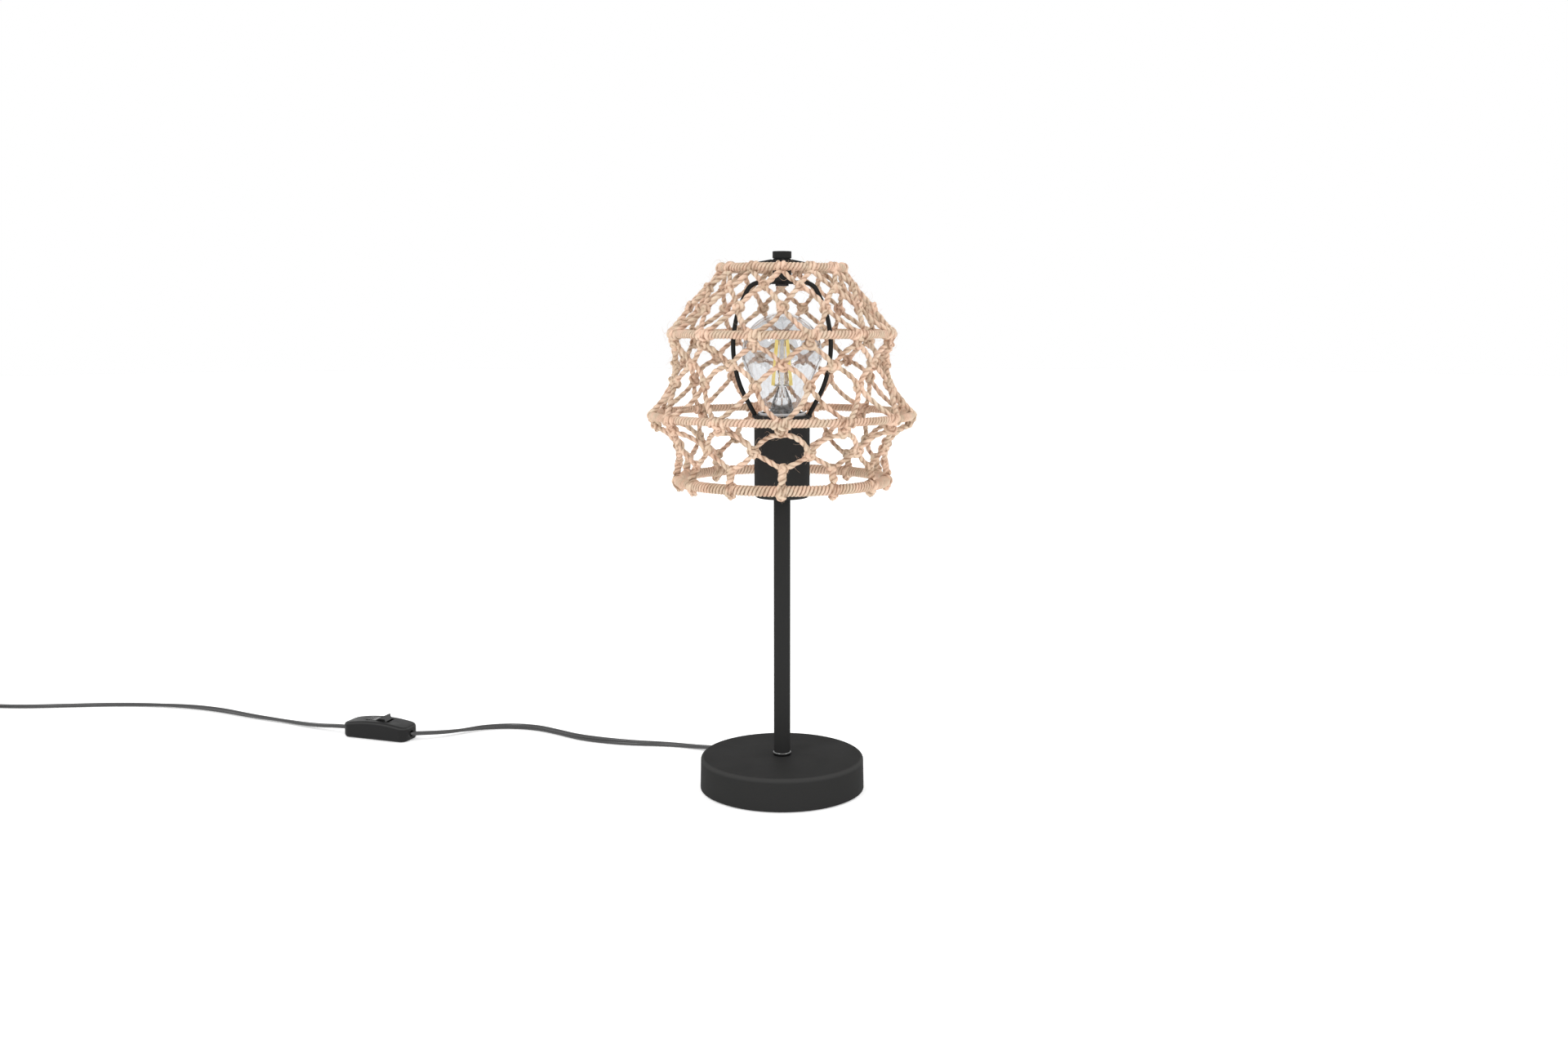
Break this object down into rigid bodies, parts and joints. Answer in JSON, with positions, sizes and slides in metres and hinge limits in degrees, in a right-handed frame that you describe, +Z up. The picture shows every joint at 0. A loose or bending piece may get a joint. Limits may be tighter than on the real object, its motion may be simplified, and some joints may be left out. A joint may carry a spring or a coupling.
{
  "type": "table lamp",
  "caption": "Table lamp with a round weighted base, slim stem, clear bulb under a wire harp, and an open shade of knotted jute on wrapped hoops, with an inline switch and plug.",
  "frame": {"origin": "middle of the base's underside, on the table", "axes": "+Z up along the stem, -Y towards the front, +X to the right"},
  "size_m": [0.9091, 0.3427, 0.411],
  "materials": {
    "black_metal": "matte black powder coat",
    "cast_iron": "rough cast",
    "pad_foam": "closed-cell foam",
    "zinc_steel": "zinc plated",
    "dark_nickel": "polished black nickel",
    "black_plastic": "fine satin",
    "insert_plastic": "moulded cream",
    "brass": "stamped",
    "bulb_nickel": "nickel plated",
    "insulator_glass": "vitreous black",
    "clear_glass": "clear",
    "filament_yellow": "phosphor coating",
    "black_rubber": "matte",
    "jute": "natural twisted jute",
    "cord_black": "satin flexible sheath",
    "lead_insulation": "smooth insulation",
    "tie_plastic": "flat plastic strip",
    "rocker_plastic": "polished black with grip grooves"
  },
  "bodies": {
    "stand": {"base_cover": "black_metal", "base_weight": "cast_iron", "base_pad": "pad_foam", "clamp_screws": "zinc_steel", "base_washer": "zinc_steel", "base_nut": "zinc_steel", "stem_foot_ring": "dark_nickel", "stem_tube": "black_metal", "threaded_conduit": "zinc_steel", "holder_cup": "black_metal", "cup_nut": "zinc_steel", "holder_cap": "black_plastic", "holder_insert": "insert_plastic", "terminal_screws": "brass", "centre_contact": "brass", "holder_sleeve": "black_plastic", "screw_shell": "brass", "harp_saddle": "black_metal", "saddle_ring_nut": "black_plastic", "harp": "black_metal", "harp_stud": "zinc_steel", "top_spacer": "black_metal", "cord_gland": "black_plastic", "cord_inner": "cord_black", "cord_clamp": "black_plastic", "inner_leads": "lead_insulation", "cord_lamp_side": "cord_black", "cord_plug_side": "cord_black", "cord_coil": "cord_black", "coil_tie": "tie_plastic", "cord_tail": "cord_black", "switch_top": "black_plastic", "switch_bottom": "black_plastic", "switch_screws": "zinc_steel", "switch_terminals": "brass", "plug_body": "black_plastic", "plug_pins": "bulb_nickel"},
    "bulb_screw": {"bulb_cap": "bulb_nickel", "bulb_insulator": "insulator_glass", "bulb_eyelet": "bulb_nickel"},
    "bulb": {"bulb_glass": "clear_glass", "glass_stem": "clear_glass", "filaments": "filament_yellow", "filament_supports": "bulb_nickel"},
    "shade_seat": {"shade_washer": "black_rubber"},
    "shade": {"shade_spider": "black_metal", "hoop_wires": "zinc_steel", "hoop_wrap_1": "jute", "hoop_wrap_2": "jute", "hoop_wrap_3": "jute", "hoop_wrap_4": "jute", "net_upper": "jute", "net_middle": "jute", "net_lower": "jute"},
    "knob_seat": {"knob_washer": "black_rubber"},
    "knob": {"knob": "black_metal"},
    "rocker": {"rocker": "rocker_plastic", "rocker_pin": "zinc_steel"}
  },
  "joints": [
    {"name": "bulb_lift", "type": "slide", "parent": "stand", "child": "bulb_screw", "axis": [0, 0, 1], "range_m": [0, 0.01816]},
    {"name": "bulb_turn", "type": "hinge", "parent": "bulb_screw", "child": "bulb", "pos_m": [0, 0, 0.286], "axis": [0, 0, 1], "range_deg": [0, 1800]},
    {"name": "shade_lift", "type": "slide", "parent": "stand", "child": "shade_seat", "axis": [0, 0, 1], "range_m": [0, 0.18]},
    {"name": "shade_turn", "type": "hinge", "parent": "shade_seat", "child": "shade", "pos_m": [0, 0, 0.4], "axis": [0, 0, 1], "continuous": true},
    {"name": "knob_lift", "type": "slide", "parent": "shade", "child": "knob_seat", "axis": [0, 0, 1], "range_m": [0, 0.00501]},
    {"name": "knob_turn", "type": "hinge", "parent": "knob_seat", "child": "knob", "pos_m": [0, 0, 0.408], "axis": [0, 0, 1], "range_deg": [0, 1800]},
    {"name": "rocker_tip", "type": "hinge", "parent": "stand", "child": "rocker", "pos_m": [-0.35, 0.1377, 0.0115], "axis": [0.3289, 0.9444, 0], "range_deg": [0, 28]}
  ],
  "couplings": [
    {"joint": "bulb_lift", "follows": "bulb_turn", "m_per_rad": 0.00057757},
    {"joint": "knob_lift", "follows": "knob_turn", "m_per_rad": 0.00015915}
  ]
}
